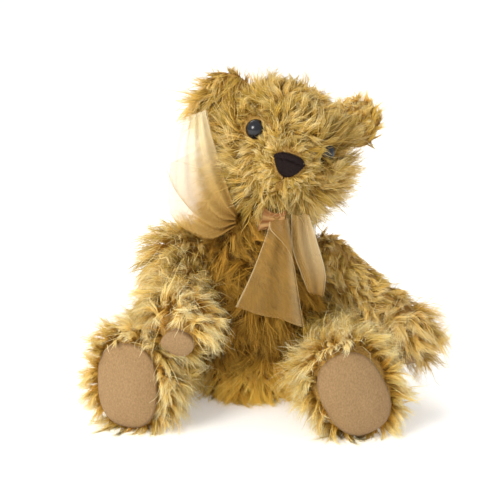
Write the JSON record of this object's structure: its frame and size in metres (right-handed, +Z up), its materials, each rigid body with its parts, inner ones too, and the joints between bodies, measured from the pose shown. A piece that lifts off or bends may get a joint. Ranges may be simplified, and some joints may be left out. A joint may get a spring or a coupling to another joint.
{
  "type": "jointed teddy bear",
  "caption": "Sitting teddy bear of stuffed mohair whose head, arms and legs turn on disc joints, with felt pads, glass eyes, a stitched nose and a sheer ribbon bow.",
  "frame": {"origin": "centre of the flat seat under the torso, on the surface that the bear sits on", "axes": "+Z up, the bear faces -Y, and its left side is +X"},
  "size_m": [0.1935, 0.13, 0.1968],
  "materials": {
    "mohair": "long curly pile",
    "stuffing": "loose fibre",
    "felt": "short napped felt",
    "board": "hard pressed board",
    "steel": "plain zinc-plated",
    "eye_glass": "gloss black",
    "thread": "satin embroidery thread",
    "organza": "sheer, glossy"
  },
  "bodies": {
    "torso": {"torso_shell": "mohair", "torso_stuffing": "stuffing", "neck_torso_disc": "board", "right_shoulder_torso_disc": "board", "left_shoulder_torso_disc": "board", "right_hip_torso_disc": "board", "left_hip_torso_disc": "board", "torso_washers": "steel", "neck_ribbon": "organza", "bow_knot": "organza", "bow_right_loop": "organza", "bow_left_loop": "organza", "bow_front_tail": "organza", "bow_right_tail": "organza"},
    "head": {"head_shell": "mohair", "head_stuffing": "stuffing", "right_ear": "mohair", "left_ear": "mohair", "right_eye": "eye_glass", "left_eye": "eye_glass", "eye_lock_washers": "steel", "nose": "thread", "mouth_stitching": "thread", "neck_head_disc": "board", "neck_bolt": "steel", "neck_head_washer": "steel", "neck_lock_nut": "steel"},
    "right_arm": {"right_arm_shell": "mohair", "right_arm_stuffing": "stuffing", "right_paw_pad": "felt", "right_arm_disc": "board", "right_arm_bolt": "steel", "right_arm_washer": "steel", "right_arm_lock_nut": "steel"},
    "left_arm": {"left_arm_shell": "mohair", "left_arm_stuffing": "stuffing", "left_paw_pad": "felt", "left_arm_disc": "board", "left_arm_bolt": "steel", "left_arm_washer": "steel", "left_arm_lock_nut": "steel"},
    "right_leg": {"right_leg_shell": "mohair", "right_leg_stuffing": "stuffing", "right_foot_pad": "felt", "right_leg_disc": "board", "right_leg_bolt": "steel", "right_leg_washer": "steel", "right_leg_lock_nut": "steel"},
    "left_leg": {"left_leg_shell": "mohair", "left_leg_stuffing": "stuffing", "left_foot_pad": "felt", "left_leg_disc": "board", "left_leg_bolt": "steel", "left_leg_washer": "steel", "left_leg_lock_nut": "steel"}
  },
  "joints": [
    {"name": "head_turn", "type": "hinge", "parent": "torso", "child": "head", "pos_m": [0.002, -0.005, 0.116], "axis": [0.3256, 0, 0.9455], "range_deg": [-50, 50], "deforming": ["bow_right_loop", "bow_right_tail"]},
    {"name": "right_shoulder", "type": "hinge", "parent": "torso", "child": "right_arm", "pos_m": [-0.03135, -0.00449, 0.078], "axis": [-0.8713, -0.3171, 0.3746], "range_deg": [0, 45]},
    {"name": "left_shoulder", "type": "hinge", "parent": "torso", "child": "left_arm", "pos_m": [0.031, -0.001, 0.075], "axis": [-0.9272, 0, -0.3746], "range_deg": [-6, 80]},
    {"name": "right_hip", "type": "hinge", "parent": "torso", "child": "right_leg", "pos_m": [-0.02791, 0.0046, 0.0283], "axis": [-0.9537, 0.3007, 0], "range_deg": [-90, 2]},
    {"name": "left_hip", "type": "hinge", "parent": "torso", "child": "left_leg", "pos_m": [0.02825, -0.0013, 0.0283], "axis": [-0.9954, -0.0958, 0], "range_deg": [-90, 0]}
  ]
}
